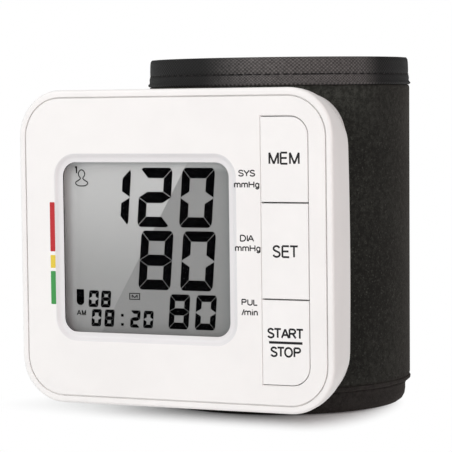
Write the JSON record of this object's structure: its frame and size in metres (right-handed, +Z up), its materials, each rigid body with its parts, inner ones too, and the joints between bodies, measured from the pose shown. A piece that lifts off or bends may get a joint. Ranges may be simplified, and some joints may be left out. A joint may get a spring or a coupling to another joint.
{
  "type": "wrist blood pressure monitor",
  "caption": "White wrist blood pressure monitor with display, keys and a black fabric cuff that stands on its lower hem.",
  "frame": {"origin": "bottom centre of the bounding box, on the floor that the cuff's lower hem stands on", "axes": "+X towards the keys' side of the face, +Y from the face back through the case and cuff, +Z up along the cuff's loop"},
  "size_m": [0.0694, 0.0786, 0.0734],
  "materials": {
    "white_plastic": "satin",
    "clear_window": "gloss",
    "display_glass": "satin",
    "black_plastic": "matte",
    "grey_plastic": "satin",
    "board_green": "satin",
    "steel": "satin",
    "valve_metal": "satin",
    "brass": "satin",
    "silicone": "matte",
    "black_rubber": "matte",
    "battery_jacket": "satin",
    "pile_fabric": "matte",
    "hem_fabric": "matte",
    "lining_fabric": "matte",
    "hook_tape": "matte"
  },
  "bodies": {
    "monitor": {"front_case": "white_plastic", "face_panel": "white_plastic", "rear_case": "white_plastic", "display_lens": "clear_window", "lcd_glass": "display_glass", "lcd_holder": "black_plastic", "controller_chip": "black_plastic", "buzzer": "black_plastic", "mem_switch": "black_plastic", "set_switch": "black_plastic", "start_stop_switch": "black_plastic", "cuff_former_base": "black_plastic", "air_manifold": "grey_plastic", "pressure_sensor": "grey_plastic", "pump_head": "grey_plastic", "cuff_air_port": "grey_plastic", "main_board": "board_green", "pump_motor": "steel", "battery_contact_1": "steel", "battery_contact_2": "steel", "battery_contact_bridge": "steel", "case_screw_1": "steel", "case_screw_2": "steel", "case_screw_3": "steel", "case_screw_4": "steel", "cuff_screw_1": "steel", "cuff_screw_2": "steel", "release_valve": "valve_metal", "pump_hose": "silicone", "valve_hose": "silicone", "sensor_hose": "silicone", "lcd_connector_strip": "black_rubber", "air_bladder": "black_rubber", "battery_1": "battery_jacket", "battery_2": "battery_jacket", "cuff_shell_base": "pile_fabric", "top_binding_base": "hem_fabric", "bottom_binding_base": "hem_fabric", "cuff_lining_base": "lining_fabric"},
    "mem_key": {"mem_button": "white_plastic", "mem_switch_plunger": "grey_plastic"},
    "set_key": {"set_button": "white_plastic", "set_switch_plunger": "grey_plastic"},
    "start_stop_key": {"start_stop_button": "white_plastic", "start_stop_switch_plunger": "grey_plastic"},
    "battery_door": {"battery_cover": "white_plastic"},
    "pump_cam": {"pump_cam_shaft": "steel"},
    "valve_rod": {"valve_plunger": "brass"},
    "cuff_arm": {"cuff_shell_arm": "pile_fabric", "cuff_former_arm": "black_plastic", "cuff_lining_arm": "lining_fabric", "top_binding_arm": "hem_fabric", "bottom_binding_arm": "hem_fabric", "flap_root": "pile_fabric"},
    "flap": {"closure_flap": "pile_fabric", "hook_patch": "hook_tape"}
  },
  "joints": [
    {"name": "mem_press", "type": "slide", "parent": "monitor", "child": "mem_key", "axis": [0, 1, 0], "range_m": [0, 0.0004], "stiffness_N_per_m": 1500},
    {"name": "set_press", "type": "slide", "parent": "monitor", "child": "set_key", "axis": [0, 1, 0], "range_m": [0, 0.0004], "stiffness_N_per_m": 1500},
    {"name": "start_stop_press", "type": "slide", "parent": "monitor", "child": "start_stop_key", "axis": [0, 1, 0], "range_m": [0, 0.0004], "stiffness_N_per_m": 1500},
    {"name": "battery_door_slide", "type": "slide", "parent": "monitor", "child": "battery_door", "axis": [-1, 0, 0], "range_m": [0, 0.018]},
    {"name": "pump_cam_spin", "type": "hinge", "parent": "monitor", "child": "pump_cam", "pos_m": [0.0175, -0.025, 0.01975], "axis": [0, 0, 1], "continuous": true},
    {"name": "valve_rod_pull", "type": "slide", "parent": "monitor", "child": "valve_rod", "axis": [0, 0, -1], "range_m": [0, 0.0008], "stiffness_N_per_m": 300},
    {"name": "cuff_arm_bend", "type": "hinge", "parent": "monitor", "child": "cuff_arm", "pos_m": [0.02542, -0.00742, 0.0367], "axis": [0, 0, -1], "range_deg": [0, 50], "stiffness_Nm_per_rad": 0.08},
    {"name": "flap_peel", "type": "hinge", "parent": "cuff_arm", "child": "flap", "pos_m": [0.01287, 0.03746, 0.0367], "axis": [0, 0, -1], "range_deg": [0, 120]}
  ]
}
